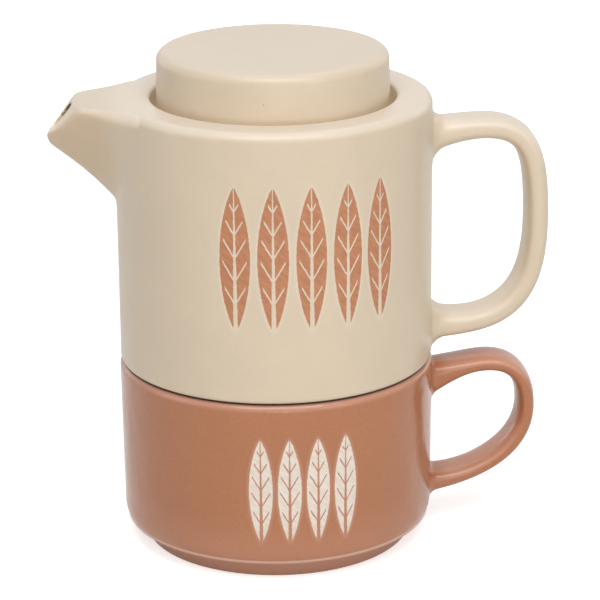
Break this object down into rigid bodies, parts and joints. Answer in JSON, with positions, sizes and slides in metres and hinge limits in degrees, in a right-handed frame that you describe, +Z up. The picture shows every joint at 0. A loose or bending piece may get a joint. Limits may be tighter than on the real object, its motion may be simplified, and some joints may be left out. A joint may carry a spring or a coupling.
{
  "type": "tea for one",
  "caption": "Cylindrical stoneware teapot with beak spout, squared loop handle and sunk disc lid, standing on its own cup with an ear handle.",
  "frame": {"origin": "centre of the cup's foot ring, in the plane that it stands on", "axes": "+Z up along the axis of the cup, teapot and lid; +X from that axis to the handles; the spout points to -X"},
  "size_m": [0.1589, 0.1006, 0.1603],
  "materials": {
    "cream_glaze": "satin",
    "rose_glaze": "satin"
  },
  "bodies": {
    "root": {"cup": "rose_glaze", "teapot": "cream_glaze", "lid": "cream_glaze"}
  },
  "joints": []
}
